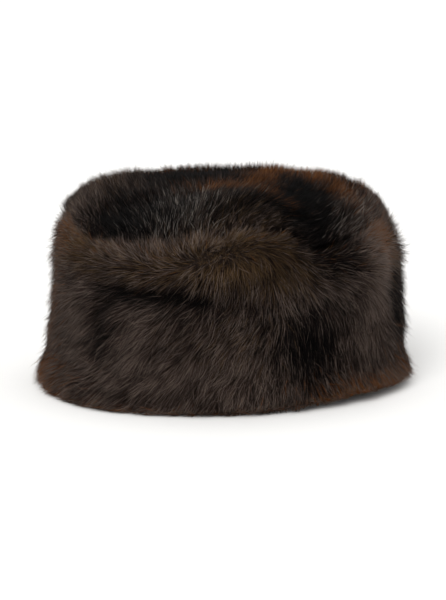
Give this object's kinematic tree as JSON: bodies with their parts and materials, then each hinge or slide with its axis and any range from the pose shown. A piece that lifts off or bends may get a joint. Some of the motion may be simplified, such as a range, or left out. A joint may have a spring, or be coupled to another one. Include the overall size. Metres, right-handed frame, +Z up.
{
  "type": "fur pillbox hat",
  "caption": "Round flat-topped hat of deep dark brown fur: a straight side band and a flat crown top, open underneath for the head.",
  "frame": {"origin": "on the surface that the hat rests on, in the middle of its box seen from above", "axes": "+Z up from the hem to the crown, -Y to the front as pictured, +X to the picture's right"},
  "size_m": [0.2272, 0.2296, 0.127],
  "materials": {
    "band_fur": "soft deep pile fur, glossy guard hairs",
    "crown_fur": "soft deep pile fur, glossy guard hairs"
  },
  "bodies": {
    "root": {"side_band": "band_fur", "crown_top": "crown_fur"}
  },
  "joints": []
}
